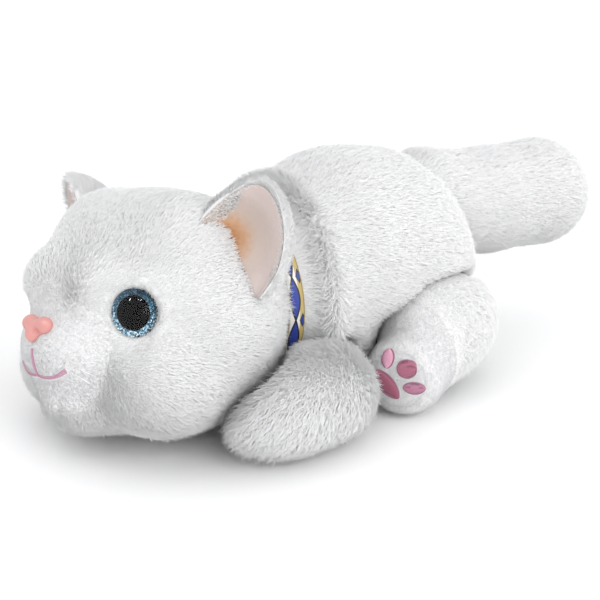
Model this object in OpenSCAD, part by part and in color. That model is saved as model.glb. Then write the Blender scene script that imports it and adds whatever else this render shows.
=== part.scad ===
// Plush cat lying on its belly. The cat faces -X and its left side is towards -Y.

/* [Torso] */
// Length of the barrel
torso_len = 132; // [128:1:134]
// Width of the barrel
torso_wid = 116; // [112:1:120]
// Height of the barrel
torso_hgt = 132; // [128:1:134]
// Height of the rump
rump_hgt = 124; // [120:1:126]

/* [Head] */
// Length of the head without the muzzle
head_len = 120; // [118:1:122]
// Width of the head
head_wid = 150; // [146:1:152]
// Height of the head
head_hgt = 128; // [124:1:130]
// Sideways lean of the head at rest, degrees
head_lean = 12; // [8:1:13]
// Turn of the head to its left at rest, degrees
head_turn = 3; // [2:1:6]

/* [Face] */
// Diameter of a safety eye
eye_d = 24; // [22:0.5:25]
// Width of the moulded nose
nose_w = 20; // [18:0.5:22]
// Thickness of the mouth stitching
stitch_t = 1.2; // [1:0.1:1.5]
// Length of a whisker
whisker_len = 30; // [20:1:34]

/* [Ears] */
// Thickness of the back piece of an ear
ear_back_t = 2.6; // [2:0.1:3]
// Thickness of the ear lining
ear_lining_t = 1.6; // [1.2:0.1:2]

/* [Legs and tail] */
// Length of a front paw
front_paw_len = 84; // [80:1:86]
// Width of a front paw
front_paw_wid = 64; // [60:1:66]
// Diameter of a hind foot
hind_foot_d = 47; // [45:0.5:48]
// Diameter of the tail at its tip
tail_tip_d = 62; // [58:1:64]

/* [Cloth and collar] */
// Thickness of the fur cloth
cloth_t = 2.4; // [2:0.1:2.8]
// Width of the collar ribbon
collar_w = 8; // [6:0.5:9]

/* [Hidden] */
$fn = 48;
soft_fn = 20;             // facets round a stuffed form
gap = 0.3;                // between pieces of one body
free = 1.4;               // between stuffed bodies that move past each other

white = [0.97, 0.97, 0.96];
filling = [0.93, 0.93, 0.9];
pink = [0.93, 0.74, 0.7];

neck_p = [-32.6, 0, 64];  // centre that the head turns and nods about
neck_r = 46;              // ball at the front of the torso
neck_cap_r = 50.2;        // outside of the neck filling that covers it
cup_r = 51;               // hollow in the back of the head
head_p = [-109.6, 0, 63.6];
muzzle_p = [-50, 0, -8]; // in the head's own frame, as are the next four
muzzle_r = [24, 36, 26];
eye_p = [-40.6, 47.4, 12.4];
eye_axis = [-0.790, 0.575, 0.21];
nose_p = [-70, 0, 6.2];
nose_up = 30;             // the nose looks up by this angle
shoulder_p = [-24.6, -46, 40];
hip_p = [43.4, -46, 36];
tail_p = [65.4, 0, 88];
foot_p = [5.4, -67, 22.4];
sole_axis = [-0.841, -0.520, 0.150];
sole_at = 13;             // sole panel ahead of the foot's centre
turn_max = 10;
nod_max = 12;
spread_max = 20;
lift_max = 20;
wag_max = 20;
fold = [-10, 20];
ear_p = [10.5, 59, 31.5]; // middle of an ear's sewn edge
ear_axis = [0.017, 0.507, -0.862];

// ---- helpers ----

// One stuffed form is handled as one mesh.
module sewn() {
    resize([0, 0, 0]) union() { children(); }
}

module ball(c, r) {
    translate(c) scale(r) sphere(1, $fn = soft_fn);
}

module limb(a, ra, b, rb) {
    hull() {
        translate(a) sphere(ra, $fn = soft_fn);
        translate(b) sphere(rb, $fn = soft_fn);
    }
}

module about(p, v, a) {
    translate(p) rotate(a, v) translate(-p) children();
}

// Turns +Z to point along v.
module along(v) {
    rotate([0, acos(v[2] / norm(v)), atan2(v[1], v[0])]) children();
}

module mirrored() {
    mirror([0, 1, 0]) children();
}

// What lies below the floor, or within g above it.
module floor_cut(g) {
    translate([-250, -150, -60]) cube([500, 300, 60 + g]);
}

// ---- stuffed forms, smaller by g all round ----

module head_frame() {
    translate(head_p) rotate([-head_lean, 0, head_turn]) children();
}

module eye_frame() {
    translate(eye_p) along(eye_axis) children();
}

module nose_frame() {
    translate(nose_p) rotate([0, -90 + nose_up, 0]) children();
}

module head_solid(g = 0) {
    ball([0, 0, 0], [head_len / 2 - g, head_wid / 2 - g, head_hgt / 2 - g]);
    ball([8, 0, 0], [58 - g, 68 - g, 60 - g]);
    ball(muzzle_p, muzzle_r - [g, g, g]);
}

module eye_socket(g) {
    eye_frame() translate([0, 0, -4.8 - g]) cylinder(r = eye_d / 2 + 0.6 + g, h = 20, $fn = 24);
}

module head_form(g = 0) {
    difference() {
        head_frame() difference() {
            head_solid(g);
            eye_socket(g);
            mirrored() eye_socket(g);
        }
        translate(neck_p) sphere(cup_r + g, $fn = 24);
        floor_cut(g);
    }
}

module paw(g) {
    ball([-69.6, -70, 28], [front_paw_len / 2 - g, front_paw_wid / 2 - g, 29 - g]);
}

module upper_arm(g) {
    limb([-44.6, -62, 32], 22 - g, shoulder_p, 20 - g);
}

module swept(p, v, turns) {
    hull() for (a = turns) about(p, v, a) children();
}

// Room in a front leg for the head over its whole travel.
module head_room(g) {
    hull() for (t = [-turn_max, 0, turn_max], n = [0, nod_max])
        about(neck_p, [0, 0, 1], t) about(neck_p, [0, 1, 0], n)
            head_frame() head_solid(-free - 0.6 - g);
}

// Room in a front leg for the neck with the collar on it.
module neck_room(g) {
    swept(shoulder_p, [0, 0, 1], [-spread_max, 0])
        translate(neck_p) sphere(neck_cap_r + 1.6 + free + g, $fn = 32);
}

// Room in a front leg for the hind foot while both legs move.
module foot_room(g) {
    hull() for (t = [-spread_max, -spread_max / 2, 0], n = [0, lift_max / 2, lift_max])
        about(shoulder_p, [0, 0, 1], t) about(hip_p, [0, 1, 0], n) difference() {
            foot(-free - g);
            beyond_sole(-free - g - 1);
        }
}

// The left one. side is 1 where the leg is to be mirrored to the right.
module front_leg_form(side, g = 0) {
    difference() {
        union() {
            paw(g);
            upper_arm(g);
        }
        mirror([0, side > 0 ? 1 : 0, 0]) head_room(g);
        neck_room(g);
        foot_room(g);
        floor_cut(g);
    }
}

module thigh(g) {
    ball(hip_p, [38 - g, 28 - g, 32 - g]);
}

module foot(g) {
    limb([35.4, -52, 30], 25 - g, foot_p, hind_foot_d / 2 - g);
}

module beyond_sole(g = 0) {
    translate(foot_p) along(sole_axis) translate([-50, -50, sole_at - g]) cube([100, 100, 60]);
}

module hind_leg_form(g = 0) {
    difference() {
        union() {
            thigh(g);
            foot(g);
        }
        beyond_sole(g);
        floor_cut(g);
    }
}

module tail_form(g = 0) {
    limb([68.4, 0, 92], 30 - g, [89.4, 0, 86], 28 - g);
    limb([89.4, 0, 86], 28 - g, [113.4, 0, 84], 28.5 - g);
    limb([113.4, 0, 84], 28.5 - g, [154.4, 0, 82], tail_tip_d / 2 - g);
}

// Room in the torso for the left legs and the tail over their whole travel.
module leg_room(g) {
    swept(shoulder_p, [0, 0, 1], [0, spread_max]) {
        paw(-free - g);
        upper_arm(-free - g);
    }
    swept(hip_p, [0, 1, 0], [0, lift_max]) {
        thigh(-free - g);
        foot(-free - g);
    }
}

module tail_room(g) {
    swept(tail_p, [0, 0, 1], [-wag_max, 0, wag_max])
        limb([68.4, 0, 92], 30 + free + g, [89.4, 0, 86], 28 + free + g);
}

module rump(g) {
    ball([43.4, 0, rump_hgt / 2 - 1.5], [43 - g, 58 - g, rump_hgt / 2 - g]);
}

module torso_form(g = 0) {
    difference() {
        union() {
            translate(neck_p) sphere(neck_r - g, $fn = 24);
            intersection() {
                union() {
                    ball([8.4, 0, 65.6], [torso_len / 2 - g, torso_wid / 2 - g, torso_hgt / 2 - g]);
                    rump(g);
                }
                translate([neck_p[0] + 8 + g, -100, -50]) cube([300, 200, 250]);
            }
        }
        leg_room(g);
        mirrored() leg_room(g);
        tail_room(g);
        floor_cut(g);
    }
}

// ---- torso ----

module torso_cloth() {
    difference() {
        torso_form();
        torso_form(cloth_t);
        translate([-122.6, -30, 34]) cube([70, 60, 60]);
    }
}

module belly_zone(g = 0) {
    translate([-15 - g, -30 - g, -20]) cube([80 + 2 * g, 60 + 2 * g, 44 + g]);
}

module torso_side() {
    color(white) sewn() intersection() {
        difference() {
            torso_cloth();
            belly_zone(gap / 2);
        }
        translate([-250, -200 - gap / 2, -100]) cube([500, 200, 300]);
    }
}

module torso_side_left() { torso_side(); }
module torso_side_right() { mirrored() torso_side(); }

module belly_panel() {
    color(white) sewn() intersection() {
        torso_cloth();
        belly_zone(-gap / 2);
    }
}

module torso_stuffing() {
    color(filling) sewn() torso_form(cloth_t + gap);
}

module care_label() {
    color([0.98, 0.98, 0.97]) sewn() difference() {
        translate([77, 9, 28]) cube([20, 0.8, 20]);
        rump(-gap);
    }
}

// ---- neck ----

module neck_stuffing() {
    color(filling) translate(neck_p) rotate([0, -90, 0]) rotate_extrude()
        intersection() {
            difference() {
                circle(neck_cap_r, $fn = 96);
                circle(neck_r + 0.5, $fn = 96);
            }
            polygon([[0, 0], [0, 80], [80, 80], [80, 80 / tan(75)]]);
        }
}

// ---- head ----

module head_cloth() {
    difference() {
        head_form();
        head_form(cloth_t);
        translate(neck_p) sphere(cup_r + cloth_t + 1, $fn = 24);
        head_frame() {
            for (s = [0, 1]) mirror([0, s, 0]) eye_frame()
                cylinder(r = 2.7, h = 60, center = true, $fn = 12);
            nose_frame() cylinder(r = 2.7, h = 40, center = true, $fn = 12);
        }
    }
}

module muzzle_zone(g = 0) {
    intersection() {
        ball(muzzle_p, muzzle_r + [2 + g, 2 + g, 2 + g]);
        translate([-150, -60, -80]) cube([100 + g, 120, 140]);
    }
}

module chin_zone(g = 0) {
    translate([-60 - g, -26 - g, -90]) cube([60 + 2 * g, 52 + 2 * g, 50 + g]);
}

module head_half(side) {
    mirror([0, side > 0 ? 1 : 0, 0])
        translate([-150, -120, -120]) cube([300, 120 - gap / 2, 240]);
}

module head_side(side) {
    color(white) sewn() intersection() {
        difference() {
            head_cloth();
            head_frame() muzzle_zone(gap);
            head_frame() chin_zone(gap);
        }
        head_frame() head_half(side);
    }
}

module head_side_left() { head_side(-1); }
module head_side_right() { head_side(1); }

module chin_panel() {
    color(white) sewn() intersection() {
        head_cloth();
        head_frame() difference() {
            chin_zone();
            muzzle_zone(gap);
        }
    }
}

module muzzle_panel() {
    color(white) sewn() intersection() {
        head_cloth();
        head_frame() muzzle_zone();
    }
}

module head_stuffing() {
    color(filling) sewn() difference() {
        head_form(cloth_t + gap);
        head_frame() {
            for (s = [0, 1]) mirror([0, s, 0]) eye_frame() {
                translate([0, 0, -24]) cylinder(r = 2.7, h = 24, $fn = 12);
                translate([0, 0, -9.6]) cylinder(r = 8.4, h = 9, $fn = 20);
            }
            nose_frame() {
                translate([0, 0, -18]) cylinder(r = 2.7, h = 20, $fn = 12);
                translate([0, 0, -7]) cylinder(r = 6.4, h = 9, $fn = 20);
            }
        }
    }
}

// Parts of an eye stand on its axis, in a socket of the head that is 4.8 below height 0.
module eye_part(side) {
    head_frame() mirror([0, side < 0 ? 1 : 0, 0]) eye_frame() children();
}

module eye_dome(side) {
    dome_h = 6.4;
    dome_r = (pow(eye_d / 2, 2) + pow(dome_h, 2)) / (2 * dome_h);
    color([0.85, 0.92, 0.96, 0.4]) eye_part(side) translate([0, 0, -2.4]) intersection() {
        translate([0, 0, dome_h - dome_r]) sphere(dome_r);
        cylinder(r = eye_d / 2 + 1, h = 20);
    }
}

module eye_pupil(side) {
    color([0.02, 0.02, 0.03]) eye_part(side) translate([0, 0, -3]) cylinder(r = eye_d * 0.34, h = 0.55);
}

module eye_glitter(side) {
    color([0.25, 0.55, 0.75]) eye_part(side) translate([0, 0, -3]) difference() {
        cylinder(r = eye_d / 2 - 0.2, h = 0.55);
        translate([0, 0, -1]) cylinder(r = eye_d * 0.34 + 0.05, h = 3);
    }
}

module eye_back(side) {
    color([0.05, 0.05, 0.06]) eye_part(side) {
        translate([0, 0, -4.6]) cylinder(r = eye_d / 2, h = 1.55);
        translate([0, 0, -20]) cylinder(r = 2.3, h = 16);
    }
}

module eye_washer(side) {
    color([0.9, 0.9, 0.88]) eye_part(side) translate([0, 0, -9]) difference() {
        cylinder(r = 8, h = 1.6);
        translate([0, 0, -1]) cylinder(r = 2.4, h = 4);
    }
}

module eye_dome_left() { eye_dome(-1); }
module eye_dome_right() { eye_dome(1); }
module eye_pupil_left() { eye_pupil(-1); }
module eye_pupil_right() { eye_pupil(1); }
module eye_glitter_left() { eye_glitter(-1); }
module eye_glitter_right() { eye_glitter(1); }
module eye_back_left() { eye_back(-1); }
module eye_back_right() { eye_back(1); }
module eye_washer_left() { eye_washer(-1); }
module eye_washer_right() { eye_washer(1); }

module nose() {
    color([0.93, 0.55, 0.5]) head_frame() {
        sewn() difference() {
            nose_frame() hull() {
                for (s = [-1, 1]) translate([4, s * (nose_w / 2 - 4), 1.6]) sphere(4, $fn = 20);
                translate([-5, 0, 1.2]) sphere(3.4, $fn = 20);
            }
            for (s = [-1, 1]) nose_frame() translate([-1.5, s * 5.6, 5]) sphere(1.5, $fn = 12);
            ball(muzzle_p, muzzle_r + [0.2, 0.2, 0.2]);
            ball([0, 0, 0], [head_len, head_wid, head_hgt] / 2 + [0.2, 0.2, 0.2]);
        }
        nose_frame() translate([0, 0, -14]) cylinder(r = 2.3, h = 16);
    }
}

module nose_washer() {
    color([0.9, 0.9, 0.88]) head_frame() nose_frame() translate([0, 0, -6.4]) difference() {
        cylinder(r = 6, h = 1.4);
        translate([0, 0, -1]) cylinder(r = 2.4, h = 4);
    }
}

// A point on the muzzle's outside at angle a to its left and b up.
function on_muzzle(a, b) = muzzle_p + [
    -muzzle_r[0] * cos(a) * cos(b), -muzzle_r[1] * sin(a) * cos(b), muzzle_r[2] * sin(b)
];

module stitch_run(points) {
    for (i = [0 : len(points) - 2]) hull() {
        translate(points[i]) sphere(stitch_t, $fn = 8);
        translate(points[i + 1]) sphere(stitch_t, $fn = 8);
    }
}

// How far up the smile is on the muzzle, at angle a from the middle.
function smile(a) = -26 - 4 * sin(4 * a) + a * a / 100;

module mouth_stitching() {
    color([0.78, 0.42, 0.52]) sewn() head_frame() difference() {
        union() {
            stitch_run([for (b = [10 : -9 : -26]) on_muzzle(0, b)]);
            for (s = [-1, 1])
                stitch_run([for (a = [0 : 11 : 44]) on_muzzle(s * a, smile(a))]);
        }
        ball(muzzle_p, muzzle_r + [0.2, 0.2, 0.2]);
    }
}

module whiskers(side) {
    color([0.98, 0.98, 0.98]) head_frame() mirror([0, side > 0 ? 1 : 0, 0])
        for (k = [-1, 0, 1])
            translate(on_muzzle(58 + 4 * k, -8 - 12 * k) + [-0.6, -1.2, 0])
                along([0.5, -0.84, -0.12 - 0.16 * k])
                    cylinder(r = 0.3, h = whisker_len, $fn = 16);
}

module whiskers_left() { whiskers(-1); }
module whiskers_right() { whiskers(1); }

// ---- ears ----

module ear_outline(in = 0) {
    hull() {
        translate([46, 54]) circle(max(4 - in, 0.6));
        translate([71, 14]) circle(max(5 - in, 0.6));
        translate([82, 62]) circle(8 - in);
        translate([73, 38]) circle(14 - in);
    }
}

// A layer of the right ear from x1 to x2, cut to lie on the head at any fold.
module ear_layer(x1, x2, in) {
    difference() {
        translate([x1, 0, 0]) rotate([90, 0, 90]) linear_extrude(x2 - x1) ear_outline(in);
        for (a = [fold[0], 0, fold[1]]) about(ear_p, ear_axis, -a) head_solid(-0.9);
    }
}

module ear(side, x1, x2, in) {
    sewn() head_frame() mirror([0, side < 0 ? 1 : 0, 0]) ear_layer(x1, x2, in);
}

module ear_back(side) {
    color(white) ear(side, 10, 10 + ear_back_t, 0);
}

module ear_lining(side) {
    color(pink) ear(side, 9.8 - ear_lining_t, 9.8, 3);
}

module ear_back_left() { ear_back(-1); }
module ear_back_right() { ear_back(1); }
module ear_lining_left() { ear_lining(-1); }
module ear_lining_right() { ear_lining(1); }

// ---- collar ----

module collar_ribbon() {
    lean = 68;
    color([0.12, 0.2, 0.6]) translate(neck_p) rotate([0, -90, 0]) rotate_extrude($fn = 96)
        rotate(90 - lean) translate([neck_cap_r + 0.4, -collar_w / 2]) square([1.2, collar_w]);
}

// ---- front legs ----

module front_leg_cover(side) {
    color(white) sewn() difference() {
        front_leg_form(side);
        front_leg_form(side, cloth_t);
        translate([-47, -42, 0]) cube([80, 60, 100]);
    }
}

module front_leg_stuffing(side) {
    color(filling) sewn() front_leg_form(side, cloth_t + gap);
}

module front_leg_cover_left() { front_leg_cover(-1); }
module front_leg_cover_right() { mirrored() front_leg_cover(1); }
module front_leg_stuffing_left() { front_leg_stuffing(-1); }
module front_leg_stuffing_right() { mirrored() front_leg_stuffing(1); }

// ---- hind legs ----

module sole_disc(r, low, high) {
    translate(foot_p) along(sole_axis) translate([0, 0, sole_at + low])
        cylinder(r = r, h = high - low);
}

module hind_leg_cover() {
    color(white) sewn() difference() {
        hind_leg_form();
        hind_leg_form(cloth_t);
        sole_disc(17, -cloth_t - 1, 1);
        translate([11, -34, 0]) cube([80, 40, 90]);
    }
}

module foot_sole() {
    color(white) sole_disc(17 - gap, -cloth_t, 0);
}

module hind_leg_stuffing() {
    color(filling) sewn() hind_leg_form(cloth_t + gap);
}

// A pad w wide and h high at x, y on the sole, leaning by a.
module pad(x, y, w, h, a) {
    translate(foot_p) along(sole_axis) rotate(90) translate([x, y, sole_at + 0.05]) rotate(a)
        hull() for (s = [-1, 1])
            if (w > h) translate([s * (w - h) / 2, 0, 0]) cylinder(d = h, h = 1, $fn = 20);
            else translate([0, s * (h - w) / 2, 0]) cylinder(d = w, h = 1, $fn = 20);
}

module toe_pads() {
    color([0.9, 0.62, 0.7]) {
        pad(-6, 9.5, 6.5, 10, 0);
        pad(4.5, 6, 8, 8.2, 0);
        pad(9, -2.5, 10, 5.6, 5);
    }
}

module main_pad() {
    color([0.78, 0.45, 0.56]) pad(-5.5, -3.5, 17, 8, -36);
}

module hind_leg_cover_left() { hind_leg_cover(); }
module hind_leg_cover_right() { mirrored() hind_leg_cover(); }
module foot_sole_left() { foot_sole(); }
module foot_sole_right() { mirrored() foot_sole(); }
module hind_leg_stuffing_left() { hind_leg_stuffing(); }
module hind_leg_stuffing_right() { mirrored() hind_leg_stuffing(); }
module toe_pads_left() { toe_pads(); }
module toe_pads_right() { mirrored() toe_pads(); }
module main_pad_left() { main_pad(); }
module main_pad_right() { mirrored() main_pad(); }

// ---- tail ----

module tail_cover() {
    color(white) sewn() difference() {
        tail_form();
        tail_form(cloth_t);
        translate([0, -60, 0]) cube([63, 120, 160]);
    }
}

module tail_stuffing() {
    color(filling) sewn() tail_form(cloth_t + gap);
}

torso_side_left();
torso_side_right();
belly_panel();
torso_stuffing();
care_label();
neck_stuffing();
head_side_left();
head_side_right();
chin_panel();
muzzle_panel();
head_stuffing();
eye_dome_left();
eye_dome_right();
eye_pupil_left();
eye_pupil_right();
eye_glitter_left();
eye_glitter_right();
eye_back_left();
eye_back_right();
eye_washer_left();
eye_washer_right();
nose();
nose_washer();
mouth_stitching();
whiskers_left();
whiskers_right();
ear_back_left();
ear_back_right();
ear_lining_left();
ear_lining_right();
collar_ribbon();
front_leg_cover_left();
front_leg_cover_right();
front_leg_stuffing_left();
front_leg_stuffing_right();
hind_leg_cover_left();
hind_leg_cover_right();
foot_sole_left();
foot_sole_right();
hind_leg_stuffing_left();
hind_leg_stuffing_right();
toe_pads_left();
toe_pads_right();
main_pad_left();
main_pad_right();
tail_cover();
tail_stuffing();
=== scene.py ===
"""Looks of a plush cat that lies on its belly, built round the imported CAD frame.

Shapes are worked out in millimetres and in the row frame: the cat faces -X and its left side is at -Y.
"""
import functools
import math

import bpy
import numpy as np
import openvdb
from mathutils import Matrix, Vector


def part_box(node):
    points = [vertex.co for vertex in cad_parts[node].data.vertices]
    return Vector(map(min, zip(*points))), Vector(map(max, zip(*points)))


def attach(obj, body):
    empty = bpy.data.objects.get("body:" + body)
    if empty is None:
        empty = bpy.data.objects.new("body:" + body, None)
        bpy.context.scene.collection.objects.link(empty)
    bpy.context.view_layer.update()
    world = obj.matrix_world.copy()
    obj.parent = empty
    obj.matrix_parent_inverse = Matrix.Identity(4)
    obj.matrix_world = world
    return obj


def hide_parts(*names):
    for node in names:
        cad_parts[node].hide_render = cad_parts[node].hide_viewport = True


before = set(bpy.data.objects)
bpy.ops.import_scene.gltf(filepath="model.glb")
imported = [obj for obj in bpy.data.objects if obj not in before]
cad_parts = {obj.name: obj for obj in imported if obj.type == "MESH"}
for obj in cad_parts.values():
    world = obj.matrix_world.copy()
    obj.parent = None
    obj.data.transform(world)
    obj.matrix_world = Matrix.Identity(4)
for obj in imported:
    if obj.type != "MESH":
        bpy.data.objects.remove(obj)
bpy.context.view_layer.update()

MM = 0.001
SIDES = {"left": -1, "right": 1}

# ---- places and sizes, as in the CAD source ----

HEAD_P = np.array((-109.6, 0, 63.6))
HEAD_LEAN = -12
HEAD_TURN = 3
HEAD_R = np.array((60, 75, 64))
NAPE_P = np.array((8, 0, 0))
NAPE_R = np.array((58, 68, 60))
MUZZLE_P = np.array((-50, 0, -8))
MUZZLE_R = np.array((24, 36, 26))
EYE_P = np.array((-40.6, 47.4, 12.4))
EYE_AXIS = np.array((-0.790, 0.575, 0.21))
EYE_R = 12
NOSE_P = np.array((-70, 0, 6.2))
NOSE_TILT = 60
NECK_P = np.array((-32.6, 0, 64))
NECK_R = 48.6
SHOULDERS_R = 54.5
SHOULDERS_AT = 5
COLLAR_LEAN = 68
COLLAR_IN = 50.7
COLLAR_HALF = 4.5       # half the ribbon's width, in degrees round the neck's middle
BARREL_P = np.array((8.4, 0, 65.6))
BARREL_R = np.array((66, 58, 66))
RUMP_P = np.array((43.4, 0, 60.5))
RUMP_R = np.array((43, 58, 62))
PAW_P = np.array((-69.6, -70, 28))
PAW_R = np.array((42, 32, 29))
HEEL_P = np.array((-46, -71, 26))
HEEL_R = np.array((25, 25, 25))
ARM_P = np.array((-44.6, -60, 30))
ARM_R = 18
SHOULDER_P = np.array((-24.6, -46, 40))
SHOULDER_R = 17
HIP_P = np.array((43.4, -46, 36))
THIGH_R = np.array((38, 28, 32))
ANKLE_P = np.array((35.4, -52, 30))
ANKLE_R = 25
FOOT_P = np.array((5.4, -67, 22.4))
FOOT_R = 23.5
SOLE_AXIS = np.array((-0.841, -0.520, 0.150))
SOLE_AT = 13
TAIL_PATH = [(68.4, 0, 92), (89.4, 0, 86), (113.4, 0, 83.5), (154.4, 0, 81.5)]
TAIL_RADII = [30, 28.5, 29.5, 32]
TAIL_P = np.array((65.4, 0, 88))
TURN, NOD, SPREAD, LIFT, WAG = 10, 12, 20, 20, 20

PILE = 2.6          # room left for the long pile inside the CAD's outline
SHORT_PILE = 1.2    # and for the short pile
UNDER = 1.2         # lowest cloth above the surface that the cat lies on
EYE_BOWL_R = 42     # the stuffing dips round an eye as a shallow bowl
EYE_BOWL_DEPTH = 3.4
EYE_SOCKET_DEPTH = 5.3
EYE_SOCKET_GAP = 0.4
NECK_GAP = 1.6      # between the neck's ball and the sockets of head and torso
POCKET_GAP = 2.0    # between the torso and what moves in its pockets
HEAD_PADS = [       # centre, radii and blend of each swelling on one side of the head
    ((-26, 38, -24), (30, 30, 28), 12),     # cheek
    ((-42, 21, 22), (15, 17, 16), 10),      # brow
    ((2, 36, 38), (24, 22, 22), 12),        # crown
]
CHIN = ((-44, 0, -30), (25, 30, 22))
NOSE_BRIDGE = ((-46, 0, 4), 17, (-47, 0, 20), 9)
NOSE_FOOT = ((-2.0, 0, 1.2), (4.9, 4.4, 3.8))
NOSE_WING = ((2.6, 6.4, 0.2), (4.4, 6.2, 4.0))
NOSTRIL_P, NOSTRIL_R = (-1.8, 5.2, 3.0), 1.8
MUZZLE_ZONE = (np.array((-54, 0, -6)), np.array((30, 40, 33)))      # ball that the short pile keeps to
MUZZLE_PILE = 1.1
EYE_BARE = 12.2     # no pile grows nearer than this to the middle of an eye
FACE_PARTING = (-84, 0, 2)      # the pile on the face is brushed away from here

# ---- distance to simple shapes; below 0 is inside ----


def unit(v):
    v = np.asarray(v, float)
    return v / np.linalg.norm(v, axis=-1, keepdims=True)


def turn_matrix(axis, degrees):
    x, y, z = unit(axis)
    c, s = math.cos(math.radians(degrees)), math.sin(math.radians(degrees))
    k = np.array(((0, -z, y), (z, 0, -x), (-y, x, 0)))
    return np.eye(3) + s * k + (1 - c) * k @ k


HEAD_M = turn_matrix((0, 0, 1), HEAD_TURN) @ turn_matrix((1, 0, 0), HEAD_LEAN)


def to_head(p):
    return (p - HEAD_P) @ HEAD_M


def from_head(q):
    return np.asarray(q, float) @ HEAD_M.T + HEAD_P


def before_turn(p, pivot, axis, degrees):
    """Where points p were before a turn about the pivot."""
    return (p - pivot) @ turn_matrix(axis, degrees) + pivot


def ball(p, centre, radii):
    q = (p - centre) / radii
    k0 = np.linalg.norm(q, axis=-1)
    k1 = np.maximum(np.linalg.norm(q / radii, axis=-1), 1e-6)
    return k0 * (k0 - 1) / k1


def limb(p, a, ra, b, rb):
    a, b = np.asarray(a, float), np.asarray(b, float)
    h = np.clip(((p - a) @ (b - a)) / ((b - a) @ (b - a)), 0, 1)
    return np.linalg.norm(p - a - h[..., None] * (b - a), axis=-1) - (ra + (rb - ra) * h)


def smooth_min(a, b, k):
    h = np.clip(0.5 + 0.5 * (b - a) / k, 0, 1)
    return b + (a - b) * h - k * h * (1 - h)


def smooth_max(a, b, k):
    return -smooth_min(-a, -b, k)


def step_up(x, low, high):
    t = np.clip((x - low) / (high - low), 0, 1)
    return t * t * (3 - 2 * t)


def flip_for(side):
    """Maps a point on that side to the left side, where the leg sizes are given."""
    return np.array((1, -side, 1))


def mirrored(v, side):
    """A place given for the right side, on the side asked for."""
    return np.multiply(v, (1, side, 1))


def from_neck(p):
    return np.linalg.norm(p - NECK_P, axis=-1)


def from_eyes(q):
    """Distance to the middle of the nearer eye, in the head's frame."""
    return np.minimum.reduce([np.linalg.norm(q - mirrored(EYE_P, s), axis=1) for s in (-1, 1)])


def both(shape):
    """A leg's shape on the left and on the right."""
    return [lambda p, s=s: shape(p, s) for s in SIDES.values()]


# ---- the stuffed shapes, where the cloth lies under its pile ----


def sits(d, p):
    return smooth_max(d, UNDER - p[..., 2], 3)


def head_shape(p):
    q = to_head(p)
    d = smooth_min(ball(q, 0, HEAD_R - PILE), ball(q, NAPE_P, NAPE_R - PILE), 6)
    for s in (-1, 1):
        for centre, radii, blend in HEAD_PADS:
            d = smooth_min(d, ball(q, mirrored(centre, s), radii), blend)
    d = smooth_min(d, ball(q, *CHIN), 12)
    d = smooth_min(d, ball(q, MUZZLE_P, MUZZLE_R - SHORT_PILE), 7)
    d = smooth_min(d, limb(q, *NOSE_BRIDGE), 8)
    for s in (-1, 1):
        from_eye = q - mirrored(EYE_P, s)
        up = from_eye @ mirrored(EYE_AXIS, s)
        out = np.linalg.norm(from_eye - mirrored(up[..., None] * EYE_AXIS, s), axis=-1)
        bowl = EYE_BOWL_R - np.hypot(out, up - EYE_BOWL_R + EYE_BOWL_DEPTH)
        socket = -np.maximum(out - EYE_R - EYE_SOCKET_GAP, -EYE_SOCKET_DEPTH - up)
        d = smooth_max(d, bowl, 3)
        d = smooth_max(d, socket, 1.5)
    d = smooth_max(d, NECK_R + NECK_GAP - from_neck(p), 2)
    return sits(d, p)


NOSE_M = turn_matrix((0, 1, 0), -NOSE_TILT)


def nose_shape(p):
    """Two rounded wings over a narrower foot, with a nostril dimple under each wing."""
    r = (to_head(p) - NOSE_P - (1.5, 0, 0)) @ NOSE_M
    d = ball(r, *NOSE_FOOT)
    for s in (-1, 1):
        d = smooth_min(d, ball(r, mirrored(NOSE_WING[0], s), NOSE_WING[1]), 4)
    for s in (-1, 1):
        d = smooth_max(d, NOSTRIL_R - np.linalg.norm(r - mirrored(NOSTRIL_P, s), axis=-1), 1.2)
    return d


def head_reach(p):
    """The nearest that the head comes to p over its travel."""
    q = [before_turn(p, NECK_P, (0, 0, 1), t) for t in (-TURN, 0, TURN)]
    moved = [before_turn(x, NECK_P, (0, 1, 0), n) for x in q for n in (0, NOD)]
    near = [ball(to_head(x), 0, HEAD_R - PILE) for x in moved]
    return np.minimum.reduce(near)


def foot_shape(p, grow=0.0):
    d = limb(p, ANKLE_P, ANKLE_R - 3 + grow, FOOT_P, FOOT_R - 2 + grow)
    return smooth_max(d, (p - FOOT_P) @ SOLE_AXIS - SOLE_AT + 0.8 - grow, 9)


def hind_leg_shape(p, side):
    q = p * flip_for(side)
    d = smooth_min(ball(q, HIP_P, THIGH_R - PILE), foot_shape(q), 8)
    return sits(d, q)


def front_leg_whole(q):
    d = smooth_min(ball(q, PAW_P, PAW_R - PILE - 1.5), ball(q, HEEL_P, HEEL_R - PILE - 2), 10)
    return smooth_min(d, limb(q, ARM_P, ARM_R - PILE, SHOULDER_P - (0, 0, 8), SHOULDER_R - 6), 10)


def front_leg_shape(p, side):
    q = p * flip_for(side)
    d = front_leg_whole(q)
    d = smooth_max(d, 2.5 - head_reach(p), 4)
    d = smooth_max(d, NECK_R + 5 - from_neck(q), 3)
    for t in (0, SPREAD):
        for n in (0, LIFT):
            x = before_turn(q, SHOULDER_P, (0, 0, 1), -t)
            x = before_turn(x, HIP_P, (0, 1, 0), n)
            d = smooth_max(d, 2.5 - foot_shape(x), 3)
    return sits(d, q)


def tail_shape(p):
    d = 1e3
    for a, ra, b, rb in zip(TAIL_PATH, TAIL_RADII, TAIL_PATH[1:], TAIL_RADII[1:]):
        d = smooth_min(d, limb(p, a, ra - PILE, b, rb - PILE), 8)
    return d


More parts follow.
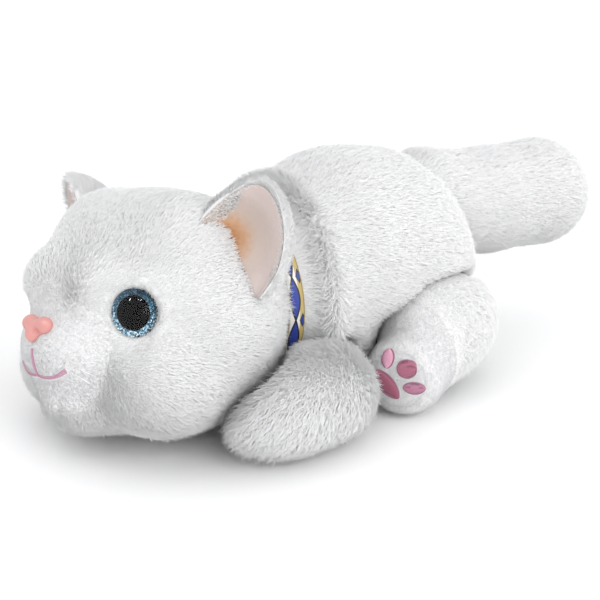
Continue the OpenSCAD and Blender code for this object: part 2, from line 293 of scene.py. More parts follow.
def torso_whole(p):
    """Barrel and rump, with the shoulders reaching forward over the neck."""
    d = smooth_min(ball(p, BARREL_P, BARREL_R - PILE), ball(p, RUMP_P, RUMP_R - PILE), 14)
    shoulders = from_neck(p) - SHOULDERS_R
    shoulders = smooth_max(shoulders, NECK_P[0] - SHOULDERS_AT - p[..., 0], 4)
    return sits(smooth_min(d, shoulders, 8), p)


def torso_shape(p):
    d = torso_whole(p)
    for side in SIDES.values():
        q = p * flip_for(side)
        for t in (0, SPREAD / 2, SPREAD):
            x = before_turn(q, SHOULDER_P, (0, 0, 1), t)
            d = smooth_max(d, POCKET_GAP - front_leg_whole(x), 3)
        for n in (0, LIFT / 2, LIFT):
            x = before_turn(q, HIP_P, (0, 1, 0), n)
            leg = np.minimum(ball(x, HIP_P, THIGH_R - PILE), foot_shape(x))
            d = smooth_max(d, POCKET_GAP - leg, 3)
    for w in (-WAG, -WAG / 2, 0, WAG / 2, WAG):
        x = before_turn(p, TAIL_P, (0, 0, 1), w)
        d = smooth_max(d, POCKET_GAP - tail_shape(x), 3)
    return smooth_max(d, NECK_R + NECK_GAP - from_neck(p), 2)


def neck_shape(p):
    return smooth_max(from_neck(p) - NECK_R, p[..., 0] - NECK_P[0] - 22, 6)


def on_muzzle(a, b):
    """Point on the right of the muzzle's cloth at angle a from the middle and b up, in the head's frame."""
    a, b = np.radians(a), np.radians(b)
    around = np.stack((-np.cos(a) * np.cos(b), np.sin(a) * np.cos(b), np.sin(b)), -1)
    return MUZZLE_P + (MUZZLE_R - SHORT_PILE) * around


def mouth_lines():
    """The middle line under the nose and the two halves of the smile, each with its end widths."""
    b = np.linspace(12, -20, 12)
    lines = [(from_head(on_muzzle(0 * b, b)), (0.7, 0.9))]
    a = np.linspace(0, 39, 14)
    smile = on_muzzle(a, -20 - 4 * np.sin(np.radians(4 * a)) + a**2 / 150)
    lines += [(from_head(mirrored(smile, s)), (1.0, 2.3)) for s in (-1, 1)]
    return lines


# ---- meshes ----


def gradient(shape, p, h=0.2):
    steps = np.eye(3) * h
    g = np.stack([shape(p + s) - shape(p - s) for s in steps], -1)
    return g / np.maximum(np.linalg.norm(g, axis=-1, keepdims=True), 1e-9)


def mesh_of(shape, low, high, step):
    """Even quads on the surface of a shape, as points and faces."""
    axes = [np.arange(a, b + step, step) for a, b in zip(low, high)]
    grid_p = np.stack(np.meshgrid(*axes, indexing="ij"), -1)
    grid = openvdb.FloatGrid(9.0)
    grid.copyFromArray(shape(grid_p).astype(np.float32))
    points, quads = grid.convertToQuads(0.0)
    points = points.astype(float) * step + np.array(low, float)
    return relaxed(shape, points, quads.astype(np.int64)), quads.astype(np.int64)


def relaxed(shape, points, quads, rounds=4):
    a = quads.ravel()
    b = np.roll(quads, -1, axis=1).ravel()
    pairs = np.concatenate((np.stack((a, b), 1), np.stack((b, a), 1)))
    count = np.bincount(pairs[:, 0], minlength=len(points))[:, None]
    for _ in range(rounds):
        total = np.stack(
            [np.bincount(pairs[:, 0], points[pairs[:, 1], i], len(points)) for i in range(3)], 1
        )
        points = 0.5 * points + 0.5 * total / count
        points = points - shape(points)[:, None] * gradient(shape, points)
    return points


def mesh_object(name, points, faces, materials, normals=None, slots=None):
    """A smooth mesh from millimetre points and faces that all have the same number of corners."""
    points, faces = np.asarray(points, float), np.asarray(faces, np.int64)
    mesh = bpy.data.meshes.new(name)
    mesh.vertices.add(len(points))
    mesh.vertices.foreach_set("co", (points * MM).astype(np.float32).ravel())
    corners = faces.shape[1]
    mesh.loops.add(faces.size)
    mesh.loops.foreach_set("vertex_index", faces.astype(np.int32).ravel())
    mesh.polygons.add(len(faces))
    mesh.polygons.foreach_set("loop_start", np.arange(0, faces.size, corners, dtype=np.int32))
    mesh.polygons.foreach_set("use_smooth", np.ones(len(faces), bool))
    for m in materials:
        mesh.materials.append(m)
    if slots is not None:
        mesh.polygons.foreach_set("material_index", slots.astype(np.int32))
    mesh.update(calc_edges=True)
    if normals is not None:
        free = mesh.attributes.new("custom_normal", "FLOAT_VECTOR", "POINT")
        free.data.foreach_set("vector", normals.astype(np.float32).ravel())
    obj = bpy.data.objects.new(name, mesh)
    bpy.context.scene.collection.objects.link(obj)
    return obj


def points_of(obj):
    co = np.empty(len(obj.data.vertices) * 3, np.float32)
    obj.data.vertices.foreach_get("co", co)
    return co.reshape(-1, 3).astype(float) / MM


def apply_all(obj):
    """Replaces the object's mesh by what its modifiers make of it."""
    evaluated = obj.evaluated_get(bpy.context.evaluated_depsgraph_get())
    mesh = bpy.data.meshes.new_from_object(evaluated)
    obj.modifiers.clear()
    obj.data = mesh


def subdivide(obj, levels=1):
    modifier = obj.modifiers.new("fine", "SUBSURF")
    modifier.levels = levels
    modifier.render_levels = levels
    apply_all(obj)


def inflate(obj, held, cap=2.5, frames=16):
    """Blows the cloth up like a stuffed cover. held is 1 where a seam or a neighbour holds it."""
    rest = points_of(obj)
    group = obj.vertex_groups.new(name="held")
    for weight in (0.5, 1.0):
        group.add(np.flatnonzero(held >= weight).tolist(), weight, "REPLACE")
    cloth = obj.modifiers.new("stuffing", "CLOTH")
    cloth.settings.quality = 4
    cloth.settings.use_pressure = True
    cloth.settings.uniform_pressure_force = 4
    cloth.settings.vertex_group_mass = "held"
    cloth.settings.effector_weights.gravity = 0
    cloth.collision_settings.use_collision = False
    for f in range(1, frames + 1):
        bpy.context.scene.frame_set(f)
    apply_all(obj)
    bpy.context.scene.frame_set(1)
    moved = points_of(obj) - rest
    size = np.linalg.norm(moved, axis=1, keepdims=True)
    moved *= np.minimum(1, cap / np.maximum(size, 1e-6))
    obj.data.vertices.foreach_set("co", ((rest + moved) * MM).astype(np.float32).ravel())
    obj.vertex_groups.clear()
    obj.data.update()


def skin(name, body, shape, low, high, stands_for, held=None, step=4.0):
    """A stuffed cover: meshed from its shape in a box, blown up between its seams and made fine."""
    points, quads = mesh_of(shape, low, high, step)
    obj = mesh_object(name, points, quads, [white_cloth])
    if held is not None:
        inflate(obj, held(points))
    subdivide(obj)
    placed(obj, body, "white_fur", *stands_for)
    return obj


# ---- materials ----


def new_material(name, base, roughness=0.6, **sockets):
    material = bpy.data.materials.new(name)
    material.use_nodes = True
    shader = material.node_tree.nodes["Principled BSDF"]
    shader.inputs["Base Color"].default_value = (*base, 1)
    shader.inputs["Roughness"].default_value = roughness
    for key, value in sockets.items():
        shader.inputs[key.replace("_", " ")].default_value = value
    return material, material.node_tree, shader


def node(tree, kind, **values):
    made = tree.nodes.new(kind)
    for key, value in values.items():
        if hasattr(made, key):
            setattr(made, key, value)
        else:
            made.inputs[key.replace("_", " ")].default_value = value
    return made


def ramp(tree, factor, colours):
    """Colours at even steps of a factor from 0 to 1."""
    made = tree.nodes.new("ShaderNodeValToRGB")
    stops = made.color_ramp.elements
    for at, colour in zip(np.linspace(0, 1, len(colours)), colours):
        stop = stops[-int(at)] if at in (0, 1) else stops.new(at)
        stop.color = (*colour, 1)
    tree.links.new(factor, made.inputs["Fac"])
    return made.outputs["Color"]


def maths(tree, operation, *values):
    """A Math node on sockets or plain numbers."""
    made = node(tree, "ShaderNodeMath", operation=operation)
    for socket, value in zip(made.inputs, values):
        if isinstance(value, (int, float)):
            socket.default_value = value
        else:
            tree.links.new(value, socket)
    return made.outputs["Value"]


def layered(tree, base, layers):
    """Colours laid over each other, each where its mask is 1."""
    under = None
    for mask, colour in layers:
        mix = node(tree, "ShaderNodeMix", data_type="RGBA")
        tree.links.new(mask, mix.inputs["Factor"])
        mix.inputs["A"].default_value = (*base, 1)
        if under is not None:
            tree.links.new(under, mix.inputs["A"])
        mix.inputs["B"].default_value = (*colour, 1)
        under = mix.outputs["Result"]
    return under


def bumped(tree, shader, height, strength, distance):
    bump = node(tree, "ShaderNodeBump", Strength=strength, Distance=distance)
    tree.links.new(height, bump.inputs["Height"])
    tree.links.new(bump.outputs["Normal"], shader.inputs["Normal"])


def place_of(tree):
    return node(tree, "ShaderNodeTexCoord").outputs["Object"]


def noise(tree, scale, detail):
    made = node(tree, "ShaderNodeTexNoise", Scale=scale, Detail=detail)
    tree.links.new(place_of(tree), made.inputs["Vector"])
    return made.outputs["Fac"]


def coloured(tree, shader, factor, colours):
    tree.links.new(ramp(tree, factor, colours), shader.inputs["Base Color"])


def plush_material(name, light, dark, grain=900, bump=0.5):
    """Cloth with a nap: fine noise in its colour and its surface."""
    material, tree, shader = new_material(name, light, 0.85, Sheen_Weight=0.25)
    fine = noise(tree, grain, 3)
    coloured(tree, shader, fine, (dark, light, light))
    bumped(tree, shader, fine, bump, 0.0006)
    return material


def thread_material(name, light, dark):
    """Embroidery thread: a satin sheen, with fine changes of tone from thread to thread."""
    material, tree, shader = new_material(name, light, 0.42, Sheen_Weight=0.3, Specular_IOR_Level=0.4)
    fine = noise(tree, 1400, 2)
    coloured(tree, shader, fine, (dark, light))
    bumped(tree, shader, fine, 0.25, 0.0002)
    return material


def moulded_material(name, light, dark, roughness):
    """Moulded plastic: nearly even, with a faint mottle and a fine grain."""
    material, tree, shader = new_material(name, light, roughness)
    coloured(tree, shader, noise(tree, 160, 2), (dark, light))
    bumped(tree, shader, noise(tree, 3000, 1), 0.12, 0.0001)
    return material


def strand_materials(name, tones):
    """Plain tones for the pile. Each strand takes one of them."""
    return [new_material(f"{name}_{i}", tone, 0.7, Sheen_Weight=0.2)[0] for i, tone in enumerate(tones)]


# ---- pile ----

MOST_FACES = 190000     # in one piece of pile


def surface_of(obj):
    """Triangles of an object's mesh: corners, corner normals and areas, in millimetres."""
    mesh = obj.data
    mesh.calc_loop_triangles()
    tri = np.empty(len(mesh.loop_triangles) * 3, np.int32)
    mesh.loop_triangles.foreach_get("vertices", tri)
    tri = tri.reshape(-1, 3)
    normals = np.empty(len(mesh.vertices) * 3, np.float32)
    mesh.vertex_normals.foreach_get("vector", normals)
    p, n = points_of(obj)[tri], normals.reshape(-1, 3)[tri].astype(float)
    area = np.linalg.norm(np.cross(p[:, 1] - p[:, 0], p[:, 2] - p[:, 0]), axis=1) / 2
    return p, n, area


def scattered(obj, per_cm2, rng):
    p, n, area = surface_of(obj)
    count = int(area.sum() / 100 * per_cm2 * (1))
    pick = np.searchsorted(np.cumsum(area) / area.sum(), rng.random(count))
    pick = np.minimum(pick, len(area) - 1)
    u, v = rng.random(count), rng.random(count)
    over = u + v > 1
    u[over], v[over] = 1 - u[over], 1 - v[over]
    w = np.stack((1 - u - v, u, v), 1)[:, :, None]
    return (p[pick] * w).sum(1), unit((n[pick] * w).sum(1))


def strands(root, normal, aim, tip_aim, length, width, bent, roundness, facing):
    """Closed three-sided hairs, straight or bent once. Returns points, triangles and normals."""
    middle = root + aim * (length * 0.5)[:, None]
    tip = middle + (tip_aim if bent else aim) * (length * 0.5)[:, None]
    middle[:, 2] = np.maximum(middle[:, 2], 0.5)
    tip[:, 2] = np.maximum(tip[:, 2], 0.3)
    side = unit(np.cross(aim, normal) + 1e-4)
    other = np.cross(aim, side)
    stations = ((root - aim * 0.6, 0.5), (middle, 0.42))[:2 if bent else 1]
    rings, radial = [], []
    for centre, share in stations:
        for k in range(3):
            angle = math.tau * k / 3
            out = side * math.cos(angle) + other * math.sin(angle)
            rings.append(centre + out * (width * share)[:, None])
            radial.append(out)
    rings.append(tip)
    radial.append(tip_aim)
    points = np.stack(rings, 1).reshape(-1, 3)
    normals = unit(facing[:, None] + np.stack(radial, 1) * roundness).reshape(-1, 3)
    last = 3 * len(stations)
    faces = [(0, 2, 1)]
    for k in range(3):
        n = (k + 1) % 3
        if bent:
            faces += [(k, n, n + 3), (k, n + 3, k + 3)]
        faces.append((last - 3 + k, last - 3 + n, last))
    faces = (np.arange(len(root))[:, None, None] * (last + 1) + np.array(faces)[None]).reshape(-1, 3)
    return points, faces, normals


def thinned(root, normal, rng):
    """Leaves out most of the pile under the cat, where nothing shows."""
    below = (root[:, 2] < UNDER + 3) & (normal[:, 2] < -0.6)
    return ~below | (rng.random(len(root)) < 0.35)


def fur(name, obj, body, slot, tones, per_cm2, length, comb, seed,
        width=0.34, lean=0.9, stray=0.22, clump=6.0, pull=0.22, bent=True, roundness=0.07, shade=None):
    """Grows pile on a cover, in pieces that each stay under MOST_FACES faces.

    length gives a root's pile length from its place and normal. comb is the way the pile is brushed, or
    gives it from the place. shade gives the way it faces the light where that is not the cover's normal.
    """
    rng = np.random.default_rng(seed)
    root, normal = scattered(obj, per_cm2, rng)
    long = length(root, normal) * rng.uniform(0.8, 1.12, len(root))
    keep = (long > 0.5) & thinned(root, normal, rng) & (rng.random(len(root)) < 11 / np.maximum(long, 11))
    root, normal, long = root[keep], normal[keep], long[keep]
    order = np.argsort(root[:, 0])
    root, normal, long = root[order], normal[order], long[order]
    brushed = (comb(root) if callable(comb) else np.array(comb)) + rng.normal(0, stray, root.shape)
    brushed -= (brushed * normal).sum(1, keepdims=True) * normal
    aim = unit(normal + brushed * lean)
    tip_aim = unit(normal * 0.55 + brushed * lean * 1.4 - np.array((0, 0, 0.08)))
    cell = np.floor(root / clump)
    jitter = np.sin(cell @ np.array((127.1, 311.7, 74.7)))[:, None] * np.array((43758.5, 22578.1, 19642.3))
    centre = (cell + 0.2 + 0.6 * (jitter - np.floor(jitter))) * clump
    inward = centre - root
    inward -= (inward * normal).sum(1, keepdims=True) * normal
    tip_aim = unit(tip_aim + inward / clump * pull * 1.6)
    thick = width * rng.uniform(0.8, 1.2, len(root))
    tone = rng.integers(0, len(tones), len(root))
    facing = unit(shade(root, normal)) if shade else normal
    per_strand = 10 if bent else 4
    parts = max(1, math.ceil(len(root) * per_strand / MOST_FACES))
    for k, index in enumerate(np.array_split(np.arange(len(root)), parts)):
        points, faces, normals = strands(
            root[index], normal[index], aim[index], tip_aim[index], long[index], thick[index], bent,
            roundness, facing[index])
        slots = np.repeat(tone[index], per_strand)
        placed(mesh_object(f"{name}_{k:02d}", points, faces, tones, normals, slots), body, slot)


# ---- tubes, for threads and whiskers ----


def tubes(paths, radii, sides=5):
    """Closed tubes along equally long point lists. radii has one radius a point."""
    paths = np.asarray(paths, float)
    count, rings = paths.shape[:2]
    radii = np.broadcast_to(radii, (count, rings))
    along = unit(np.gradient(paths, axis=1))
    up = np.where(np.abs(along[..., 2:]) > 0.9, np.array((1.0, 0, 0)), np.array((0, 0, 1.0)))
    a = unit(np.cross(along, up))
    b = np.cross(along, a)
    angle = np.arange(sides) * math.tau / sides
    ring = (
        paths[:, :, None]
        + (a[:, :, None] * np.cos(angle)[:, None] + b[:, :, None] * np.sin(angle)[:, None])
        * radii[:, :, None, None]
    )
    body = ring.reshape(count, rings * sides, 3)
    ends = np.stack((paths[:, 0] - along[:, 0] * radii[:, :1] * 0.3,
                     paths[:, -1] + along[:, -1] * radii[:, -1:] * 0.3), 1)
    points = np.concatenate((body, ends), 1)
    faces = []
    for r in range(rings - 1):
        for k in range(sides):
            n = (k + 1) % sides
            low, high = r * sides, (r + 1) * sides
            faces += [(low + k, low + n, high + n), (low + k, high + n, high + k)]
    first, last = rings * sides, rings * sides + 1
    for k in range(sides):
        n = (k + 1) % sides
        faces += [(first, n, k), (last, (rings - 1) * sides + k, (rings - 1) * sides + n)]
    size = rings * sides + 2
    faces = (np.arange(count)[:, None, None] * size + np.array(faces)[None]).reshape(-1, 3)
    return points.reshape(-1, 3), faces


def placed(obj, body, slot, *stands_for):
    if stands_for:
        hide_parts(*stands_for)
    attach(obj, body)
    return obj


# ---- colours ----

# Painted shade: the cloth's white and the short pile's tones are set darker than the long pile's. This
# stands in for the shade that the long pile gets among its strands, and for the muzzle and soles lying
# turned from the light.
SHADED_WHITE = (0.80, 0.80, 0.80)
FUR_TONES = strand_materials("fur", ((0.94, 0.94, 0.935), (0.915, 0.918, 0.922), (0.96, 0.96, 0.955)))
SHADED_SHORT_TONES = strand_materials("short_pile", ((0.70, 0.70, 0.71), (0.67, 0.67, 0.68), (0.73, 0.73, 0.735)))
white_cloth = plush_material("white_cloth", SHADED_WHITE, (0.76, 0.76, 0.76))
short_cloth = plush_material("short_cloth", SHADED_WHITE, (0.76, 0.76, 0.762), 1500, bump=0.3)


# ---- the stuffed covers ----


def midline(points, width=3.0):
    return np.where(np.abs(points[:, 1]) < width, 1.0, 0.0)


def near(shape_list, points, gap=6.0):
    d = np.minimum.reduce([s(points) for s in shape_list])
    return np.where(d < gap, 1.0, 0.0)


def on_side(low, high, side):
    """A box given for the left side, on the side asked for."""
    if side == SIDES["left"]:
        return low, high
    return (low[0], -high[1], low[2]), (high[0], -low[1], high[2])


def make_torso():
    others = [*both(front_leg_shape), *both(hind_leg_shape), tail_shape, neck_shape]
    nodes = ("torso_side_left", "torso_side_right", "belly_panel", "torso_stuffing")
    return skin("torso_skin", "torso", torso_shape, (-66, -62, -3), (93, 62, 136), nodes,
                lambda p: np.maximum(midline(p), near(others, p)))


def make_head():
    def held(p):
        q = to_head(p)
        face = np.where(q[:, 0] < -36, 1.0, 0.0)
        return np.maximum.reduce([midline(q), face, near([neck_shape], p, 8)])

    nodes = ("head_side_left", "head_side_right", "chin_panel", "muzzle_panel", "head_stuffing")
    return skin("head_skin", "head", head_shape, (-200, -86, -3), (-35, 86, 140), nodes, held, 3.2)


def make_neck():
    return skin("neck_skin", "neck", neck_shape, (-86, -52, 10), (-4, 52, 118), ("neck_stuffing",),
                step=5.0)


def make_front_leg(name, side):
    def held(p):
        q = p * flip_for(side)
        seam = np.where(np.abs(q[:, 2] - 26) < 2.5, 1.0, 0.0)
        return np.maximum.reduce([seam, near([torso_whole], p, 3), near([head_reach], p, 5)])

    nodes = (f"front_leg_cover_{name}", f"front_leg_stuffing_{name}")
    return skin(f"front_leg_skin_{name}", f"front_leg_{name}", lambda p: front_leg_shape(p, side),
                *on_side((-118, -106, -3), (2, -20, 66), side), nodes, held, 3.2)


def make_hind_leg(name, side):
    def held(p):
        q = p * flip_for(side)
        sole = np.where((q - FOOT_P) @ SOLE_AXIS > SOLE_AT - 6, 1.0, 0.0)
        return np.maximum(near([torso_whole], p, 3), sole)

    nodes = (f"hind_leg_cover_{name}", f"hind_leg_stuffing_{name}")
    return skin(f"hind_leg_skin_{name}", f"hind_leg_{name}", lambda p: hind_leg_shape(p, side),
                *on_side((-25, -96, -3), (87, -12, 74), side), nodes, held, 3.2)


def make_tail():
    nodes = ("tail_cover", "tail_stuffing")
    return skin("tail_skin", "tail", tail_shape, (31, -38, 46), (192, 38, 126), nodes,
                lambda p: np.maximum(midline(p, 2.0), near([torso_whole], p, 3)))


# ---- how the pile lies on each ----

SHORT_LAY = {"width": 0.3, "lean": 1.1, "stray": 0.3, "clump": 4.0, "bent": False}


def shortened(long, p, neighbours):
    """Pile under a neighbour is short, but never shorter than 1.4."""
    room = np.minimum.reduce([s(p) for s in neighbours])
    return np.minimum(long, np.maximum(1.4, room * 0.9))


def flat_under(long, p):
    return np.where(p[:, 2] < UNDER + 0.8, np.minimum(long, 2.0), long)


def torso_fur(obj):
    neighbours = [*both(front_leg_shape), *both(hind_leg_shape), tail_shape]

    def rim(p):
        return 1 - step_up(p[:, 0] - NECK_P[0], 6 - SHOULDERS_AT, 15 - SHOULDERS_AT)

    def length(p, n):
        long = shortened(5.5 + 3 * rim(p), p, neighbours)
        hidden = (torso_whole(p) < -16) | (from_neck(p) - NECK_R < 2.6)
        return np.where(hidden, 0, flat_under(long, p))

    def comb(p):
        return np.array((1.0, 0, -0.25)) - rim(p)[:, None] * (1.3, 0, 0)

    def shade(p, n):
        return n + rim(p)[:, None] * 6 * unit(p - NECK_P + (0, 0, -10)) + rim(p)[:, None] * (0, 0, 2.0)

    fur("torso_fur", obj, "torso", "white_fur", FUR_TONES, 170, length, comb, 11, shade=shade)


def off_face(p):
    """The way the face's pile is brushed, in the head's frame."""
    return unit(to_head(p) - FACE_PARTING) + (0.35, 0, 0)


def head_fur(obj):
    def length(p, n):
        q = to_head(p)
        long = 4.5 + 3.0 * step_up(-q[:, 2], -6, 34) * step_up(q[:, 0], -52, -20)
        eye = from_eyes(q)
        long = np.minimum(long, 2.0 + 0.17 * np.maximum(eye - 14, 0))
        long = np.minimum(long, MUZZLE_PILE + 1.6 * np.maximum(ball(q, *MUZZLE_ZONE), 0))
        nape = step_up(p[:, 2], 60, 70) * step_up(p[:, 0], NECK_P[0] - 40, NECK_P[0] - 26)
        long = long + nape * 5
        collar = from_neck(p) - NECK_R
        long = np.minimum(long, 1.5 + collar * (0.9 + nape * 3))
        long = shortened(long, p, both(front_leg_shape))
        bare = (eye < EYE_BARE) | (collar < 2.2) | (nose_shape(p) < 0.3) | (ball(q, *MUZZLE_ZONE) < 0)
        return np.where(bare, 0, flat_under(long, p))

    def comb(p):
        fall = step_up(-to_head(p)[:, 2], -10, 30)
        return unit(off_face(p) + np.array((0, 0, -0.35)) * fall[:, None]) @ HEAD_M.T

    fur("head_fur", obj, "head", "white_fur", FUR_TONES, 190, length, comb, 12)


def muzzle_fur(obj):
    """Short dense pile on the muzzle panel."""
    def length(p, n):
        q = to_head(p)
        bare = (ball(q, *MUZZLE_ZONE) > 0.8) | (nose_shape(p) < 0.2) | (from_eyes(q) < EYE_BARE)
        for stitch in np.concatenate([points for points, _ in mouth_lines()]):
            bare |= np.linalg.norm(p - stitch, axis=1) < 1.5
        return np.where(bare, 0, flat_under(np.full(len(p), MUZZLE_PILE), p))

    fur("muzzle_fur", obj, "head", "short_plush", SHADED_SHORT_TONES, 420, length,
        lambda p: unit(off_face(p)) @ HEAD_M.T, 13,
        width=0.24, lean=1.6, stray=0.15, clump=4.0, bent=False, roundness=0.05)


def front_leg_fur(obj, name, side):
    def length(p, n):
        q = p * flip_for(side)
        long = 6.5 + 3.0 * step_up(-q[:, 0], 60, 100)
        long = np.minimum(long, np.maximum(1.4, (torso_whole(p) + 2.0) * 0.9))
        long = np.minimum(long, np.maximum(1.6, head_shape(p) * 0.8))
        long = shortened(long, p, [lambda x: hind_leg_shape(x, side)])
        hidden = (torso_whole(p) < -12) | (from_neck(p) < NECK_R + 6)
        return np.where(hidden, 0, flat_under(long, p))

    fur(f"front_leg_fur_{name}", obj, f"front_leg_{name}", "white_fur", FUR_TONES, 190, length,
        (-1.0, 0.15 * side, -0.45), 20 + side, lean=0.8, stray=0.35,
        shade=lambda p, n: n + (-0.15, 0, 0.35))


def hind_leg_fur(obj, name, side):
    """Long pile on the thigh and short pile from the ankle to the sole."""
    def clear(long, p):
        long = np.minimum(long, np.maximum(1.3, (torso_whole(p) + 2.0) * 0.9))
        long = shortened(long, p, [lambda x: front_leg_shape(x, side)])
        return np.where(torso_whole(p) < -12, 0, flat_under(long, p))

    def ahead(p):
        return (p * flip_for(side) - FOOT_P) @ SOLE_AXIS

    def long_pile(p, n):
        return clear(np.where(ahead(p) < -14, 1.4 + 3.6 * step_up(-ahead(p), 14, 34), 0), p)

    def short_pile(p, n):
        return clear(np.where(ahead(p) < -15, 0, 1.2), p)

    body, comb = f"hind_leg_{name}", (0.5, 0, -0.9)
    fur(f"hind_leg_fur_{name}", obj, body, "white_fur", FUR_TONES, 200, long_pile, comb, 30 + side)
    fur(f"foot_fur_{name}", obj, body, "short_plush", SHADED_SHORT_TONES, 380, short_pile, comb, 34 + side,
        **SHORT_LAY)


def tail_fur(obj):
    def length(p, n):
        long = np.minimum(5.5, np.maximum(1.4, (torso_whole(p) + 2.0) * 0.9))
        return np.where(torso_whole(p) < -12, 0, long)

    fur("tail_fur", obj, "tail", "white_fur", FUR_TONES, 180, length, (1.0, 0, -0.2), 40)


def neck_fur(obj):
    def length(p, n):
        polar = np.degrees(np.arccos(-(p - NECK_P)[:, 0] / from_neck(p)))
        under_ribbon = np.abs(polar - COLLAR_LEAN) < COLLAR_HALF + 1
        behind = 3.0 + 6.5 * step_up(polar, COLLAR_LEAN + 5, COLLAR_LEAN + 14)
        return np.where((polar > 60) & (polar < 100), np.where(under_ribbon, 0.9, behind), 0)

    fur("neck_fur", obj, "neck", "white_fur", FUR_TONES, 200, length, (1.0, 0, 0), 50, lean=0.45)


torso = make_torso()
head = make_head()
neck = make_neck()
tail = make_tail()
torso_fur(torso)
head_fur(head)
muzzle_fur(head)
neck_fur(neck)
tail_fur(tail)
for side_name, side_sign in SIDES.items():
    front_leg_fur(make_front_leg(side_name, side_sign), side_name, side_sign)
    hind_leg_fur(make_hind_leg(side_name, side_sign), side_name, side_sign)


# ---- ears ----

EAR_BASE = [(-6, 52, 41), (11, 57, 37), (14, 66, 25), (15, 70, 9)]
EAR_EDGE = [(-5, 53, 44), (5, 66, 58), (14, 79, 65), (17, 88, 58), (18, 91, 42), (17, 86, 24), (15, 73, 9)]
EAR_DEPTH = 8
EAR_TILT = {"left": 5, "right": -9}     # how far the tip of each ear stands back
# The ear lining's painted shade is darkest round EAR_CREASE.
EAR_CREASE = (11, 60, 39)               # middle of the fold at the foot of the lining


def smooth_line(stops, t):
    """Catmull-Rom curve through the stops, at t from 0 to 1."""
    stops = np.array(stops, float)
    padded = np.vstack((2 * stops[0] - stops[1], stops, 2 * stops[-1] - stops[-2]))
    x = np.clip(t, 0, 1) * (len(stops) - 1)
    i = np.minimum(x.astype(int), len(stops) - 2)
    f = (x - i)[..., None]
    a, b, c, d = (padded[i + k] for k in range(4))
    return 0.5 * (2 * b + (c - a) * f + (2 * a - 5 * b + 4 * c - d) * f**2
                  + (3 * b - a - 3 * c + d) * f**3)


def ear_sheet(u, v, tilt):
    """The cupped front of the right ear, in the head's frame: u along the sewn edge, v out to the rim."""
    base, edge = smooth_line(EAR_BASE, u), smooth_line(EAR_EDGE, u)
    bow = np.sin(math.pi * np.clip(v, 0, 1)) * np.sin(math.pi * u) * EAR_DEPTH
    back = bow + tilt * v * np.sin(math.pi * u)
    return base + (edge - base) * v[..., None] + back[..., None] * (1, 0, 0) - bow[..., None] * (0, 0.25, 0)


def ear_shell(front, back, over, tilt, wide=36, high=22):
    """A closed layer of the ear, from front to back millimetres behind the sheet; over widens its rim."""
    u, v = np.meshgrid(np.linspace(0.01, 0.99, wide), np.linspace(0, 1, high), indexing="ij")
    v = v * (1 + over * np.exp(-((u - 0.38) / 0.3) ** 2))
    sheet = ear_sheet(u, v, tilt)
    n = unit(np.cross(np.gradient(sheet, axis=0), np.gradient(sheet, axis=1)))
    n = n * np.sign(n[wide // 2, high // 2, 0])
    plump = (1 - np.linspace(0, 1, high) ** 6) * (1 - np.abs(2 * u - 1) ** 6)
    first = sheet + n * front
    second = sheet + n * (front + 0.4 + (back - front - 0.4) * plump)[..., None]
    points = np.concatenate((first.reshape(-1, 3), second.reshape(-1, 3)))
    return points, slab_faces(wide, high)


def slab_faces(wide, high):
    """Faces of two grids of points, front then back, closed round their rim."""
    index = np.arange(wide * high).reshape(wide, high)
    quads = np.stack((index[:-1, :-1], index[1:, :-1], index[1:, 1:], index[:-1, 1:]), -1).reshape(-1, 4)
    rim = np.concatenate((index[:, 0], index[-1, 1:], index[-2::-1, -1], index[0, -2:0:-1]))
    nxt = np.roll(rim, -1)
    size = wide * high
    walls = np.stack((rim, nxt, nxt + size, rim + size), 1)
    return np.concatenate((quads[:, ::-1], quads + size, walls))


def fix_outward(points, faces):
    """Turns the faces outwards if they enclose a negative volume."""
    p = points[faces]
    volume = 0
    for k in range(1, faces.shape[1] - 1):
        volume += (np.cross(p[:, 0], p[:, k]) * p[:, k + 1]).sum()
    return faces if volume > 0 else faces[:, ::-1]


def lining_material(name, crease):
    """Beige-pink velour, with a warm dark-orange painted shade in the crease at its foot."""
    material, tree, shader = new_material(name, (0.70, 0.54, 0.49), 0.9, Sheen_Weight=0.3)
    away = node(tree, "ShaderNodeVectorMath", operation="DISTANCE")
    away.inputs[1].default_value = crease
    tree.links.new(place_of(tree), away.inputs[0])
    grain = noise(tree, 420, 4)
    blurred = maths(tree, "MULTIPLY_ADD", grain, 0.006, away.outputs["Value"])
    spread = maths(tree, "MULTIPLY_ADD", blurred, 1 / 0.022, -0.32)
    # Painted shade: near the crease point the lining darkens through crease_shade and tan to beige; away
    # from it the lining keeps its own beige-pink.
    crease_shade, beige, pink = (0.46, 0.20, 0.07), (0.56, 0.46, 0.40), (0.66, 0.56, 0.53)
    tones = (crease_shade, (0.56, 0.34, 0.21), beige, (0.57, 0.48, 0.44), pink)
    coloured(tree, shader, spread, tones)
    bumped(tree, shader, grain, 0.35, 0.0006)
    return material


def make_ear(name, side):
    body = f"ear_{name}"
    crease = tuple(from_head(mirrored(EAR_CREASE, side)) * MM)
    lining = lining_material(f"ear_lining_cloth_{name}", crease)
    layers = {
        "back": (1.35, 7.0, 0.09, white_cloth, "white_fur"),
        "lining": (0.6, 1.3, 0.0, lining, "ear_lining_plush"),
    }
    for layer, (front, rear, over, material, slot) in layers.items():
        points, faces = ear_shell(front, rear, over, EAR_TILT[name])
        points = from_head(mirrored(points, side))
        obj = mesh_object(f"ear_{layer}_skin_{name}", points, fix_outward(points, faces), [material])
        subdivide(obj)
        placed(obj, body, slot, f"ear_{layer}_{name}")
        if layer == "back":
            ear_fur(obj, name, side)


